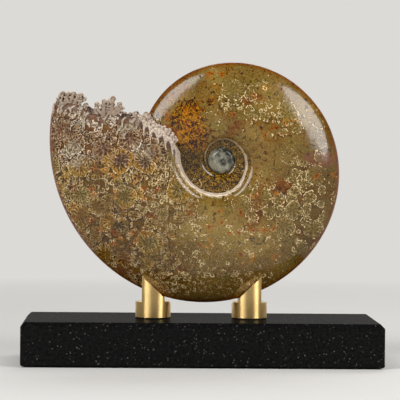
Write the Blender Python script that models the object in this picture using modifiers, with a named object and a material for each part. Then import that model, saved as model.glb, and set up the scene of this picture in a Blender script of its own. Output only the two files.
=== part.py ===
"""A polished ammonite standing on its keel in two brass supports on a black granite slab.

Metres, +Z up. The origin is on the surface it stands on, under the middle of the slab.
+X runs along the slab, and the shell is a flat coil in the XZ plane, so -Y is its front.
"""

import math

import bmesh
import bpy
from mathutils import Matrix, Vector

MM = 0.001
GAP = 0.3 * MM  # left between pieces that touch

# Slab and what is under it
SLAB_X, SLAB_Y, SLAB_Z = 250 * MM, 100 * MM, 30 * MM
SLAB_CHAMFER = 3 * MM
SLAB_ARRIS = 0.8 * MM
PAD_STAND = 1.0 * MM  # height of the slab's underside
PAD_RADIUS = 9 * MM
PAD_THICK = PAD_STAND - 0.2 * MM
PAD_X, PAD_Y = 104 * MM, 32 * MM
SLAB_TOP = PAD_STAND + SLAB_Z

# Coil: the keel and the seam are logarithmic spirals about one pole
POLE = Vector((13.5 * MM, 0, 142.7 * MM))
KEEL_RADIUS = 82.8 * MM  # at turn 0, on the +X side of the pole
KEEL_GROWTH = 0.1195  # per radian
SEAM_RADIUS = 18.3 * MM
SEAM_GROWTH = 0.15
HALF_THICKNESS = 0.21  # of the keel radius
WIDEST_AT = 0.40  # of the keel radius
FLANK_TAPER = 0.30
SHOULDER_POWER = 3.6
SEAM_OVERLAP = 0.98
TURN_START, TURN_END = math.radians(-560), math.radians(199)
DISC_RADIUS = 10.5 * MM  # fills the first turns
VOXEL = 1.3 * MM
SHELL_DETAIL = 0.055  # share of the faces that is kept
HOLLOWS = [(0.80, 5 * MM), (0.45, 9 * MM)]  # rings of the hollow end: share of the section, and depth

# Lobes along the broken edge: (distance from the pole, height above the edge, width), in mm
LOBES = [
    (121, 5, 9),
    (113, 9, 9),
    (104, 3, 9),
    (91, 11, 5),
    (86, 16, 5),
    (80, 14, 5),
    (68, 11, 7),
    (60, 14, 9),
    (51, 11, 9),
    (42, 6, 9),
]
LOBE_THICK = 7 * MM

# Supports and their screws
SUPPORT_X = 34 * MM
FOOT_RADIUS = 12.5 * MM
FOOT_HEIGHT = 11.5 * MM
TONGUE_WIDTH = 16 * MM
TONGUE_HEIGHT = 30 * MM  # at its outer edge
TONGUE_SLANT = math.radians(44)
KEEL_CLEARANCE = 0.5 * MM
SCREW_RADIUS = 3 * MM
SCREW_LENGTH = 30 * MM
HEAD_RADIUS, HEAD_HEIGHT = 5 * MM, 6 * MM
HEAD_SEAT = 8 * MM  # height of the counterbore's floor
SOCKET_RADIUS, SOCKET_DEPTH = 2.9 * MM, 3 * MM


def clear_scene():
    for old in list(bpy.data.objects):
        bpy.data.objects.remove(old, do_unlink=True)


def collection(name):
    made = bpy.data.collections.new(name)
    bpy.context.scene.collection.children.link(made)
    return made


def material(name, colour, roughness, metallic=0.0):
    made = bpy.data.materials.new(name)
    made.use_nodes = True
    shader = made.node_tree.nodes["Principled BSDF"]
    shader.inputs["Base Color"].default_value = (*colour, 1)
    shader.inputs["Roughness"].default_value = roughness
    shader.inputs["Metallic"].default_value = metallic
    return made


def add_object(name, bm, home, finish=None):
    mesh = bpy.data.meshes.new(name)
    bm.normal_update()
    bm.to_mesh(mesh)
    bm.free()
    made = bpy.data.objects.new(name, mesh)
    home.objects.link(made)
    if finish:
        mesh.materials.append(finish)
        mesh.shade_smooth()
        mesh.set_sharp_from_angle(angle=math.radians(35))
    else:
        made.hide_render = True
        made.display_type = "WIRE"
    return made


def subtract(piece, cutter):
    cut = piece.modifiers.new("cut_" + cutter.name, "BOOLEAN")
    cut.operation = "DIFFERENCE"
    cut.solver = "EXACT"
    cut.object = cutter


def cylinder(radius, low, high, x=0.0, y=0.0, sides=32):
    bm = bmesh.new()
    place = Matrix.Translation((x, y, (low + high) / 2))
    bmesh.ops.create_cone(
        bm, cap_ends=True, segments=sides, radius1=radius, radius2=radius, depth=high - low, matrix=place
    )
    return bm


def box(size, centre):
    bm = bmesh.new()
    bmesh.ops.create_cube(bm, matrix=Matrix.Translation(centre) @ Matrix.Diagonal((*size, 1)))
    return bm


def keel_at(turn):
    return KEEL_RADIUS * math.exp(KEEL_GROWTH * turn)


def coil_point(turn, distance, side):
    """The point at this distance from the pole: turn runs clockwise from +X, seen from the front."""
    return POLE + Vector((distance * math.cos(turn), side, -distance * math.sin(turn)))


def flank_height(turn, distance):
    """Half the whorl's thickness there: an ellipse outside its widest line, a superellipse within."""
    keel = keel_at(turn)
    widest = WIDEST_AT * keel
    thickest = HALF_THICKNESS * keel
    if distance >= widest:
        out = min(1.0, (distance - widest) / (keel - widest))
        return thickest * math.sqrt(1 - out * out) * (1 - FLANK_TAPER * out)
    inner = SEAM_OVERLAP * SEAM_RADIUS * math.exp(SEAM_GROWTH * turn)
    inward = min(1.0, (widest - distance) / (widest - inner))
    return thickest * (1 - inward**SHOULDER_POWER) ** (1 / SHOULDER_POWER)


def whorl_section(turn, grow=0.0, half_steps=14):
    """One closed section of the coil, from the keel round the front flank and back."""
    keel = keel_at(turn)
    inner = SEAM_OVERLAP * SEAM_RADIUS * math.exp(SEAM_GROWTH * turn)
    front = []
    for step in range(half_steps + 1):
        share = 0.5 - 0.5 * math.cos(math.pi * step / half_steps)
        distance = keel + (inner - keel) * share
        side = 0.0 if step in (0, half_steps) else flank_height(turn, distance) + grow
        front.append((distance + grow * math.cos(math.pi * share), side))
    ring = [coil_point(turn, distance, -side) for distance, side in front]
    ring += [coil_point(turn, distance, side) for distance, side in front[-2:0:-1]]
    return ring


def end_hollow():
    """Rings inside the last section, each smaller and set further back along the coil."""
    last = whorl_section(TURN_END)
    middle = sum(last, Vector()) / len(last)
    back = Vector((math.sin(TURN_END), 0, math.cos(TURN_END)))
    return [[middle + (point - middle) * share + back * depth for point in last] for share, depth in HOLLOWS]


def loft(rings):
    """A closed skin over a row of rings with as many points each, capped at both ends."""
    bm = bmesh.new()
    rows = [[bm.verts.new(point) for point in ring] for ring in rings]
    count = len(rows[0])
    for low, high in zip(rows, rows[1:]):
        for k in range(count):
            following = (k + 1) % count
            bm.faces.new((low[k], low[following], high[following], high[k]))
    bm.faces.new(rows[0])
    bm.faces.new(rows[-1])
    bmesh.ops.recalc_face_normals(bm, faces=bm.faces)
    return bm


def add_lobe(bm, distance, height, width, face):
    """A rounded finger that stands up from the broken edge, in line with the coil."""
    rise = TURN_END + 0.35 * height / distance
    side = face * max(0.0, flank_height(TURN_END, distance) - LOBE_THICK * 0.45)
    along = Vector((-math.sin(TURN_END), 0, -math.cos(TURN_END)))
    across = Vector((math.cos(TURN_END), 0, -math.sin(TURN_END)))
    turned = Matrix((across, Vector((0, 1, 0)), along)).transposed().to_4x4()
    size = Matrix.Diagonal((width / 2, LOBE_THICK / 2, height * 0.65 + 3 * MM, 1))
    place = Matrix.Translation(coil_point(rise, distance, side))
    bmesh.ops.create_uvsphere(bm, u_segments=12, v_segments=8, radius=1, matrix=place @ turned @ size)


def make_ammonite(home, finish):
    steps = 120
    turns = [TURN_START + (TURN_END - TURN_START) * k / steps for k in range(steps + 1)]
    bm = loft([whorl_section(turn) for turn in turns] + end_hollow())
    for face in (-1, 1):
        for distance, height, width in LOBES:
            add_lobe(bm, distance * MM, height * MM, width * MM, face)
    squash = Matrix.Diagonal((1, 0.72, 1, 1))
    bmesh.ops.create_uvsphere(
        bm, u_segments=24, v_segments=12, radius=DISC_RADIUS, matrix=Matrix.Translation(POLE) @ squash
    )
    shell = add_object("ammonite", bm, home, finish)
    fuse = shell.modifiers.new("fuse", "REMESH")
    fuse.mode = "VOXEL"
    fuse.voxel_size = VOXEL
    fuse.use_smooth_shade = True
    thin = shell.modifiers.new("thin", "DECIMATE")
    thin.ratio = SHELL_DETAIL
    thin.use_collapse_triangulate = True
    return shell


def make_slab(home, helpers, finish):
    bm = box((SLAB_X, SLAB_Y, SLAB_Z), (0, 0, PAD_STAND + SLAB_Z / 2))
    top = [edge for edge in bm.edges if all(v.co.z > SLAB_TOP - MM for v in edge.verts)]
    bmesh.ops.bevel(bm, geom=top, offset=SLAB_CHAMFER, segments=1, affect="EDGES", profile=0.5)
    sharp = [e for e in bm.edges if e.calc_length() < SLAB_Z or all(v.co.z < SLAB_TOP / 2 for v in e.verts)]
    upright = [e for e in sharp if all(v.co.z < SLAB_TOP - MM for v in e.verts)]
    bmesh.ops.bevel(bm, geom=upright, offset=SLAB_ARRIS, segments=1, affect="EDGES", profile=0.5)
    slab = add_object("base_slab", bm, home, finish)
    for side, word in ((-1, "left"), (1, "right")):
        x = side * SUPPORT_X
        bore = cylinder(SCREW_RADIUS + GAP, -MM, SLAB_TOP + MM, x)
        subtract(slab, add_object("slab_bore_" + word, bore, helpers))
        seat = cylinder(HEAD_RADIUS + MM, -MM, HEAD_SEAT, x)
        subtract(slab, add_object("slab_counterbore_" + word, seat, helpers))
    return slab


def make_keel_cutter(helpers):
    """The stretch of coil that lies in the supports, a little larger than the shell."""
    first, last = math.radians(40), math.radians(140)
    steps = 50
    turns = [first + (last - first) * k / steps for k in range(steps + 1)]
    bm = loft([whorl_section(turn, grow=KEEL_CLEARANCE, half_steps=20) for turn in turns])
    return add_object("keel_slot", bm, helpers)


def make_support(word, side, keel_cutter, home, helpers, finish):
    """A turned post, flattened to a tongue above its foot and cut on a slant and along the keel."""
    x = side * SUPPORT_X
    foot_low = SLAB_TOP + GAP
    foot_high = SLAB_TOP + FOOT_HEIGHT
    top = SLAB_TOP + TONGUE_HEIGHT
    post = cylinder(FOOT_RADIUS, foot_low, top, x, sides=64)
    bottom = [e for e in post.edges if all(v.co.z < foot_low + MM for v in e.verts)]
    bmesh.ops.bevel(post, geom=bottom, offset=0.4 * MM, segments=1, affect="EDGES", profile=0.5)
    support = add_object("support_" + word, post, home, finish)
    reach = 40 * MM
    for outward in (-1, 1):
        middle = x + outward * (TONGUE_WIDTH + reach) / 2
        flat = box((reach, reach, reach), (middle, 0, foot_high + reach / 2))
        name = f"tongue_flat_{word}_{'outer' if outward == side else 'inner'}"
        subtract(support, add_object(name, flat, helpers))
    slant = box((reach * 3, reach, reach), (0, 0, reach / 2))
    corner = Vector((x + side * TONGUE_WIDTH / 2, 0, top))
    turned = Matrix.Rotation(-side * TONGUE_SLANT, 4, "Y")
    bmesh.ops.transform(slant, matrix=Matrix.Translation(corner) @ turned, verts=slant.verts)
    subtract(support, add_object("tongue_slant_" + word, slant, helpers))
    subtract(support, keel_cutter)
    tapped = cylinder(SCREW_RADIUS + GAP, SLAB_TOP - MM, HEAD_SEAT + SCREW_LENGTH + MM, x)
    subtract(support, add_object("support_bore_" + word, tapped, helpers))
    return support


def make_screw(word, x, home, helpers, finish):
    """A cap screw, turned about its axis: the profile runs down the outside."""
    seat = HEAD_SEAT - GAP
    tip = seat + SCREW_LENGTH
    low = seat - HEAD_HEIGHT
    edge = 0.4 * MM
    profile = [
        (0, tip),
        (SCREW_RADIUS - 2 * edge, tip),
        (SCREW_RADIUS, tip - 2 * edge),
        (SCREW_RADIUS, seat),
        (HEAD_RADIUS - edge, seat),
        (HEAD_RADIUS, seat - edge),
        (HEAD_RADIUS, low + edge),
        (HEAD_RADIUS - edge, low),
        (0, low),
    ]
    bm = bmesh.new()
    points = [bm.verts.new((radius, 0, height)) for radius, height in profile]
    for first, second in zip(points, points[1:]):
        bm.edges.new((first, second))
    screw = add_object("screw_" + word, bm, home, finish)
    screw.location.x = x
    turn = screw.modifiers.new("turn", "SCREW")
    turn.steps = turn.render_steps = 24
    turn.use_merge_vertices = True
    turn.merge_threshold = 0.00001
    socket = cylinder(SOCKET_RADIUS, low - MM, low + SOCKET_DEPTH, x, sides=6)
    subtract(screw, add_object("socket_" + word, socket, helpers))
    return screw


def make_pad(name, x, y, home, finish):
    bm = cylinder(PAD_RADIUS, 0, PAD_THICK, x, y, sides=24)
    rim = [e for e in bm.edges if all(v.co.z > PAD_THICK / 2 for v in e.verts)]
    bmesh.ops.bevel(bm, geom=rim, offset=0.2 * MM, segments=1, affect="EDGES", profile=0.5)
    return add_object(name, bm, home, finish)


def main():
    clear_scene()
    parts = collection("ammonite_on_stand")
    helpers = collection("cutters")
    fossil = material("polished_fossil", (0.20, 0.13, 0.07), 0.22)
    granite = material("black_granite", (0.012, 0.012, 0.013), 0.12)
    brass = material("satin_brass", (0.60, 0.41, 0.17), 0.32, metallic=1.0)
    steel = material("bright_steel", (0.55, 0.55, 0.56), 0.30, metallic=1.0)
    felt = material("black_felt", (0.02, 0.02, 0.022), 0.95)
    make_ammonite(parts, fossil)
    make_slab(parts, helpers, granite)
    keel_cutter = make_keel_cutter(helpers)
    for word, side in (("left", -1), ("right", 1)):
        make_support(word, side, keel_cutter, parts, helpers, brass)
        make_screw(word, side * SUPPORT_X, parts, helpers, steel)
        for depth, end in (("front", -1), ("back", 1)):
            make_pad(f"pad_{depth}_{word}", side * PAD_X, end * PAD_Y, parts, felt)


main()
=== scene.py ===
"""A polished ammonite on two brass posts and a granite slab, in a plain studio."""

import math
from functools import partial
from types import SimpleNamespace

import bmesh
import bpy
import numpy as np
from mathutils import Matrix, Vector


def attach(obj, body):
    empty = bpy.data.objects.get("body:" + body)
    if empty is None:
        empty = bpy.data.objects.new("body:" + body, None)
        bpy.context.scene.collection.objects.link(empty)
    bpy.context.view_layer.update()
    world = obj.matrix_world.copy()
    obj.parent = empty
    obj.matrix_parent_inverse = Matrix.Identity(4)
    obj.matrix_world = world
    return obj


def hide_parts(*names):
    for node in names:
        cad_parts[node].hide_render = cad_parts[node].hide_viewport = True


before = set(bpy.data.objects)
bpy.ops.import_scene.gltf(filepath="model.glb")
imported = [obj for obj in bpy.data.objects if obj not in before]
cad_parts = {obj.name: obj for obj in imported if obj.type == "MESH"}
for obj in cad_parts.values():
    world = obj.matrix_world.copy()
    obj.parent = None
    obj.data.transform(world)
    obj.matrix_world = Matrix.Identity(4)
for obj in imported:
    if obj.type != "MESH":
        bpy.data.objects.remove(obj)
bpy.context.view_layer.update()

MM = 0.001
TAU = 2 * math.pi

# The coil, as the solid has it: keel and seam are logarithmic spirals about one pole
POLE = np.array([13.5, 0.0, 142.7]) * MM
KEEL_RADIUS, KEEL_GROWTH = 82.8 * MM, 0.1195
SEAM_RADIUS, SEAM_GROWTH = 17.93 * MM, 0.15
HALF_THICKNESS, WIDEST_AT, FLANK_TAPER, SHOULDER_POWER = 0.21, 0.40, 0.30, 3.6
TURN_START, TURN_END = math.radians(-560), math.radians(199)
SEAM_DIP, SEAM_DIP_AT, SEAM_DIP_WIDTH = 0.115, math.radians(-5), math.radians(62)
KEEL_BLEND = 6 * MM  # how far round the keel the front's look gives way to the back's


# --- coil formulas


def keel_at(turn):
    """The keel's distance from the pole: a radius times e to the growth times the turn."""
    return KEEL_RADIUS * np.exp(KEEL_GROWTH * turn)


def seam_at(turn):
    """The seam's distance: a spiral like the keel's, drawn in by a ninth on the right of the last hollow,
    in a flat-topped bell."""
    drawn_in = SEAM_DIP * np.exp(-(((turn - SEAM_DIP_AT) / SEAM_DIP_WIDTH) ** 4))
    return SEAM_RADIUS * np.exp(SEAM_GROWTH * turn) * (1 - drawn_in)


def flank_height(turn, distance):
    """Half the whorl's thickness: from its widest line out to the keel an ellipse that tapers, and from
    there in to the seam a superellipse."""
    keel = keel_at(turn)
    widest = WIDEST_AT * keel
    out = np.clip((distance - widest) / (keel - widest), 0, 1)
    inward = np.clip((widest - distance) / (widest - seam_at(turn)), 0, 1)
    outer = np.sqrt(1 - out * out) * (1 - FLANK_TAPER * out * out / (out + 0.12))
    inner = (1 - inward**SHOULDER_POWER) ** (1 / SHOULDER_POWER)
    return HALF_THICKNESS * keel * np.where(distance >= widest, outer, inner)


def on_coil(turn, distance, side):
    """The point at a distance from the pole on the ray at a turn, which runs clockwise from +X seen from
    the front. Side is its depth towards the back."""
    turn, distance, side = np.broadcast_arrays(turn, distance, side)
    return POLE + np.stack([distance * np.cos(turn), side, -distance * np.sin(turn)], axis=-1)


def waves(first, second, seed, count=5):
    """A smooth unevenness: a sum of sines with drawn directions and phases, within about -1 and 1."""
    draw = np.random.default_rng(seed)
    total = 0
    for _ in range(count):
        angle, phase = draw.uniform(0, TAU, 2)
        size = draw.uniform(0.6, 1.6)
        total = total + np.sin(size * (first * math.cos(angle) + second * math.sin(angle)) + phase)
    return total / count


def smooth_step(value, low, high):
    """0 at low, 1 at high, and between them three times the share's square less twice its cube. Low may
    be the larger."""
    share = np.clip((value - low) / (high - low), 0, 1)
    return share * share * (3 - 2 * share)


def unit(vectors):
    """The vectors at length 1."""
    return vectors / np.linalg.norm(vectors, axis=-1, keepdims=True)


# --- meshes


def in_scene(name, data):
    """A new object in the scene."""
    made = bpy.data.objects.new(name, data)
    bpy.context.scene.collection.objects.link(made)
    return made


def new_piece(name, points, faces, attributes=()):
    """A smooth piece whose place is in its mesh; each attribute holds one vector a point."""
    mesh = bpy.data.meshes.new(name)
    mesh.from_pydata(np.asarray(points, float).reshape(-1, 3).tolist(), [], faces)
    for key, values in dict(attributes).items():
        store(mesh, key, values)
    mesh.shade_smooth()
    return in_scene(name, mesh)


def store(mesh, key, vectors):
    """Writes one vector a point into a new attribute of the mesh."""
    values = np.asarray(vectors, np.float32).ravel()
    mesh.attributes.new(key, "FLOAT_VECTOR", "POINT").data.foreach_set("vector", values)


def read(piece, field):
    """The piece's points ("co") or their normals ("normal"), one row each."""
    flat = np.empty(len(piece.data.vertices) * 3)
    piece.data.vertices.foreach_get(field, flat)
    return flat.reshape(-1, 3)


def ring_faces(rows, across):
    """Quads between rows of closed rings, wound so that a ring that runs clockwise about its row faces out."""
    row, col = np.meshgrid(np.arange(rows - 1), np.arange(across), indexing="ij")
    low, after = row * across, (col + 1) % across
    quads = np.stack([low + col, low + after, low + across + after, low + across + col], axis=-1)
    return quads.reshape(-1, 4).tolist()


def cap_faces(first, across, middle):
    """Triangles from the ring of points that starts at first to a point in its middle."""
    return [(first + k, first + (k + 1) % across, middle) for k in range(across)]


def face_outwards(piece):
    """Turns every face of a closed mesh outwards."""
    bm = bmesh.new()
    bm.from_mesh(piece.data)
    bmesh.ops.recalc_face_normals(bm, faces=bm.faces)
    bm.to_mesh(piece.data)
    bm.free()
    return piece


def settle(piece):
    """Replaces a piece's mesh by what its modifiers make of it."""
    graph = bpy.context.evaluated_depsgraph_get()
    mesh = bpy.data.meshes.new_from_object(piece.evaluated_get(graph))
    piece.modifiers.clear()
    piece.data = mesh
    mesh.shade_smooth()


def relax(piece, factor, rounds):
    """Draws each point towards the middle of its neighbours, some rounds over."""
    soften = piece.modifiers.new("soften", "SMOOTH")
    soften.factor, soften.iterations = factor, rounds
    settle(piece)


# --- the shell

ALONG, AROUND = 505, 180
EDGE_FROM = math.radians(14)  # the stretch before the broken edge over which it takes its wavy line
SKIN_WAVES = 0.22 * MM
DEEP = 50 * MM  # stands for anywhere well away from an edge
WALL_RINGS, WALL_SINK, WALL_LEAN, FLUTE_SPACING, FLUTE_DEPTH = 43, 9 * MM, 6 * MM, 15 * MM, 3 * MM
DOME_RADIUS, DOME_HEIGHT, DOME_AROUND, DOME_RINGS = 10.8 * MM, 10 * MM, 96, 60
# Where the polished skin ends past the last section, in mm: (distance from the pole, stand-out)
FRONT_EDGE = [
    (29, -6), (33, -3), (37, 1), (45, 4), (52, 4), (62, 9), (66, 8), (73, 6), (76, 4), (84, 4), (90, -1),
    (93, 1), (99, 0), (105, 3), (114, 2), (120, -1), (126, -4),
]
BACK_EDGE = [(29, -5), (36, 0), (48, 5), (62, 8), (70, 3), (80, 7), (90, 2), (101, 5), (112, 1), (126, -4)]

# How wide the pale ledge along the seam is, in mm, and how strongly it shows, by degrees of turn.
# Its strength is partly painted light: fullest low down, where the ledge faces the lamps, and
# fainter on its upper side as painted shade.
LEDGE_WIDTH = [(-235, 0.6), (-180, 0.9), (-90, 1.2), (0, 1.8), (60, 2.5), (110, 3.2), (150, 3.3), (199, 4.0)]
LEDGE_SHOWN = [(-235, 0.0), (-190, 0.55), (-120, 0.6), (-60, 0.55), (0, 0.75), (50, 1.0), (199, 1.0)]

# Soft patches of tone on the front, in mm from the pole: (across, up, half width, half height, strength
# and, where they lean, their tilt in degrees)
TONES = {
    "moss": [
        (-92, 10, 42, 44, 1), (-62, -28, 40, 30, 1, -20), (-62, 14, 22, 22, 0.8), (-80, -40, 36, 26, 1, -48),
        (-56, -66, 30, 18, 0.9, -35), (-8, -84, 60, 14, 0.5), (-78, -36, 5, 4, -0.7), (-54, -43, 7, 5, -0.7),
        (48, -20, 24, 22, 0.3), (20, 40, 30, 12, 0.22), (25, -40, 8, 34, 0.3), (4, -44, 4, 32, 0.3),
        (-18, -50, 4, 26, 0.25),
    ],
    "mauve": [(-96, 26, 34, 26, 1), (-68, 12, 30, 18, 0.8, -20), (-107, 4, 8, 12, 0.5)],
    "amber": [(-26, 23, 14, 14, 1, -35), (-17, 8, 9, 10, 0.6), (-9, 41, 4, 4, 0.5), (-23, 36, 8, 6, 0.7)],
    "russet": [
        (37, -17, 9, 7, 0.7), (45, -19, 5, 4, 0.8), (23, -36, 6, 20, 0.8, -8), (10, 23, 8, 5, 0.7, 40),
        (20, 43, 10, 4, 0.7, 15), (-29, -76, 9, 4, 0.6, 10), (-50, -40, 5, 3, 0.9), (-23, 36, 6, 5, 0.5),
    ],
    # dark brown tone; the first two patches, beside the pole in the hollow, are partly painted shadow
    "dark": [
        (-20, 0, 10, 8, 0.9), (-13, 14, 9, 8, 0.55), (6, 41, 13, 5, 0.5, 30), (25, -56, 8, 6, 0.5),
        (8, 30, 10, 5, 0.3), (40, -22, 8, 5, 0.5), (-20, -62, 12, 8, 0.35),
    ],
    "gold": [
        (-72, -4, 12, 11, 1), (-105, -9, 10, 8, 0.8), (-47, -4, 7, 6, 0.5), (-66, -28, 7, 6, 0.7),
        (-30, -22, 10, 6, 0.6), (41, 24, 8, 6, 0.3),
    ],
    # pink-lilac tone; the patches low on the rim, at lower left and lower right, are a painted reflection
    "pink": [
        (68, 1, 13, 6, 1), (20, 43, 9, 4, 0.8, 15), (62, -20, 12, 12, 0.35), (60, -78, 16, 8, 0.8, 40),
        (-67, -80, 15, 7, 0.7, -40), (-30, 48, 9, 5, 0.5, 40),
    ],
    "spots": [
        (0, 50, 34, 20, 0.6), (-60, -30, 10, 8, 1), (-82, -50, 10, 8, 1), (41, 24, 14, 8, 1),
        (-28, 26, 16, 12, 1), (-74, -36, 34, 26, 0.9), (-10, -50, 18, 20, 0.6), (25, -45, 20, 30, 0.7),
        (62, -12, 24, 16, 0.4),
    ],
    "glow": [
        (-22, -40, 24, 14, 0.9), (8, -54, 26, 14, 0.9), (-4, -78, 40, 10, 0.4), (56, 26, 14, 20, 0.4),
        (34, -52, 16, 12, 0.4), (-40, -30, 14, 10, 0.4), (20, 58, 26, 8, 0.3),
    ],
    "coral": [
        (-104, 3, 8, 10, 1), (-100, 30, 7, 10, 0.9, 20), (-56, 6, 11, 6, 0.7, -30), (-68, 24, 8, 5, 0.9),
        (-86, 24, 7, 6, 0.6),
    ],
    "shade": [
        (70, -30, 26, 50, 0.8), (0, -92, 80, 26, 0.6), (-84, -40, 24, 32, 0.7, 20),
        (-60, -60, 20, 12, 0.6, -30), (-24, -64, 12, 8, 0.4),
    ],
    "curls": [
        (54, -40, 27, 27, 1), (17, -42, 6, 34, 0.9), (4, -45, 4, 30, 0.8), (-15, -46, 5, 30, 0.8),
        (20, 42, 32, 18, 0.8), (48, -12, 18, 14, 0.7), (60, 10, 14, 18, 0.6), (44, 28, 14, 12, 0.7),
    ],
    "small": [(-8, -70, 56, 26, 1), (-40, -34, 14, 12, 0.5), (20, 40, 30, 16, 0.6)],
}
CARRIED_ON = TAU / 7  # how far the front's tones are turned on at the back, but for those at the break
AT_THE_BREAK = ("moss", "mauve", "coral")
BACK_SHIFT = (370, 110)  # mm from the front's fans to the back's in the pattern they are cut from

# The shell's soft masks, three to an attribute
SHELL_MASKS = {
    "tones_a": ("moss", "mauve", "amber"),
    "tones_b": ("russet", "dark", "gold"),
    "tones_c": ("pink", "chalk", "spots"),
    "tones_d": ("shade", "curls", "small"),
    "fields_a": ("rim", "ledge", "glow"),
    "fields_b": ("coral", "seam_kept", "floor"),
    "fields_c": ("edge_gap", "far", "band"),
}


def edge_line(distance, side):
    """How far past the last section the polished skin reaches: straight between the given points,
    turning smoothly from the front's to the back's over the keel."""
    front, back = [np.interp(distance, *(np.array(knots).T * MM)) for knots in (FRONT_EDGE, BACK_EDGE)]
    share = 0.5 + 0.5 * np.tanh(side / KEEL_BLEND)
    return front * (1 - share) + back * share


def tone(name, across, up):
    """The sum of a tone's patches, each a flat-topped bell over its own tilted ellipse, held to 0 and 1."""
    total = np.zeros_like(across)
    for x, z, wide, high, strength, *tilt in TONES[name]:
        tilt = math.radians(sum(tilt))
        cos, sin = math.cos(tilt), math.sin(tilt)
        first = ((across - x) * cos + (up - z) * sin) / wide
        second = ((up - z) * cos - (across - x) * sin) / high
        total = total + strength * np.exp(-0.7 * (first**4 + second**4 + 2 * (first * second) ** 2))
    return np.clip(total, 0, 1)


def both_sides(name, across, up, side):
    """A tone on the front, and the same patches carried a seventh of a turn on and mirrored on the back."""
    carried = 0 if name in AT_THE_BREAK else CARRIED_ON
    away_x = across * math.cos(carried) - up * math.sin(carried)
    away_z = across * math.sin(carried) + up * math.cos(carried)
    share = np.clip(side / KEEL_BLEND + 0.5, 0, 1)
    return tone(name, across, up) * (1 - share) + tone(name, away_x, away_z) * share


def make_shell():
    """A closed section carried along the spiral: ring points run from the keel over the front to the
    seam and back. The last rows lean out to the wavy broken edge, and a fluted wall closes the end."""
    angle = np.arange(AROUND) * TAU / AROUND
    share = 0.5 - 0.5 * np.cos(angle)
    face = np.where(angle < math.pi, -1.0, 1.0)
    line = np.linspace(0, 1, ALONG)[:, None]
    turn = TURN_START + (TURN_END - TURN_START) * line + 0 * share
    last_distance = keel_at(TURN_END) + (seam_at(TURN_END) - keel_at(TURN_END)) * share
    reach = edge_line(last_distance, face * flank_height(TURN_END, last_distance)) / last_distance
    turn = turn + reach * smooth_step(turn, TURN_END - EDGE_FROM, TURN_END)
    distance = keel_at(turn) + (seam_at(turn) - keel_at(turn)) * share
    side = face * flank_height(turn, distance)
    side[:, [0, AROUND // 2]] = 0
    side = side + face * waves(turn * 5, distance / (9 * MM), 3) * SKIN_WAVES * np.abs(np.sin(angle))
    rows = on_coil(turn, distance, side)
    wall, lumps = make_wall_rows(rows[-1], last_distance)
    ends = [wall[-1:].mean(axis=1), rows[:1].mean(axis=1)]
    points = np.concatenate([rows.reshape(-1, 3), wall.reshape(-1, 3), *ends])
    skin, total = ALONG * AROUND, (ALONG + len(wall)) * AROUND
    faces = ring_faces(ALONG + len(wall), AROUND)
    faces += cap_faces(total - AROUND, AROUND, total) + cap_faces(0, AROUND, total + 1)
    # skin length from the keel to each point, for a pattern that isn't squeezed at the rim
    steps = np.linalg.norm(np.diff(rows, axis=1, append=rows[:, :1]), axis=2)
    along_ring = np.cumsum(steps, axis=1) - steps
    rim = np.minimum(along_ring, steps.sum(axis=1, keepdims=True) - along_ring)
    quarter = AROUND // 4
    unrolled = distance[:, [quarter]] + rim[:, [quarter]] - rim
    across, depth, up = ((points - POLE) / MM).T
    far = np.hypot(across, up) * MM
    rim = np.concatenate([rim.ravel(), np.full(len(points) - skin, 40 * MM)])
    stretch = np.concatenate([unrolled.ravel(), far[skin:]]) / np.maximum(far, MM)
    back = np.where(depth > 0, 1.0, 0.0)
    plane = [across * stretch + back * BACK_SHIFT[0], up * stretch + back * BACK_SHIFT[1], 0 * far]
    depth = depth * MM
    # soft masks for the markings, and for the painted light and shade among them
    row_turn = np.concatenate([turn.ravel(), np.tile(turn[-1], len(wall)), [TURN_END, TURN_START]])
    before = row_turn - TAU
    below = np.where(far < keel_at(before), flank_height(before, far), -DEEP)
    climb = (np.abs(depth) - below) / (HALF_THICKNESS * keel_at(row_turn) - np.maximum(below, 0))
    past_edge = (row_turn - TURN_END) * far - edge_line(far, depth)
    past_edge = np.where(row_turn > TURN_END - 2, past_edge, -DEEP)
    # the white step at the end of the last whorl: chalky calcite, its white partly a painted highlight where
    # the step faces the lamps
    chalk = smooth_step(row_turn, math.radians(150), math.radians(190)) * smooth_step(climb, 0.95, 0.6)
    chalk[skin : total + 1] = np.append(lumps.ravel(), 0)
    width = np.interp(np.degrees(row_turn), *zip(*LEDGE_WIDTH)) * MM
    last_turn = (row_turn - TURN_END) % TAU + TURN_END - TAU
    tones = {name: both_sides(name, across, up, depth) for name in TONES}
    tones.update(
        moss=tones["moss"] * smooth_step(-past_edge, 2 * MM, 8 * MM),
        chalk=chalk,
        rim=rim / MM,
        ledge=np.clip((far - seam_at(row_turn)) / width, 0, 9),
        seam_kept=np.interp(np.degrees(row_turn), *zip(*LEDGE_SHOWN)),
        floor=smooth_step(far / seam_at(last_turn), 1.08, 0.97),
        edge_gap=np.minimum(-past_edge, DEEP) / MM,
        far=far / MM,
        band=smooth_step(far, 69 * MM, 60 * MM) * smooth_step(past_edge, -14 * MM, -9 * MM),
    )
    masks = {key: np.stack([tones[name] for name in names], axis=-1) for key, names in SHELL_MASKS.items()}
    return face_outwards(new_piece("shell", points, faces, {"plane": np.stack(plane, axis=-1), **masks}))


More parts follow.
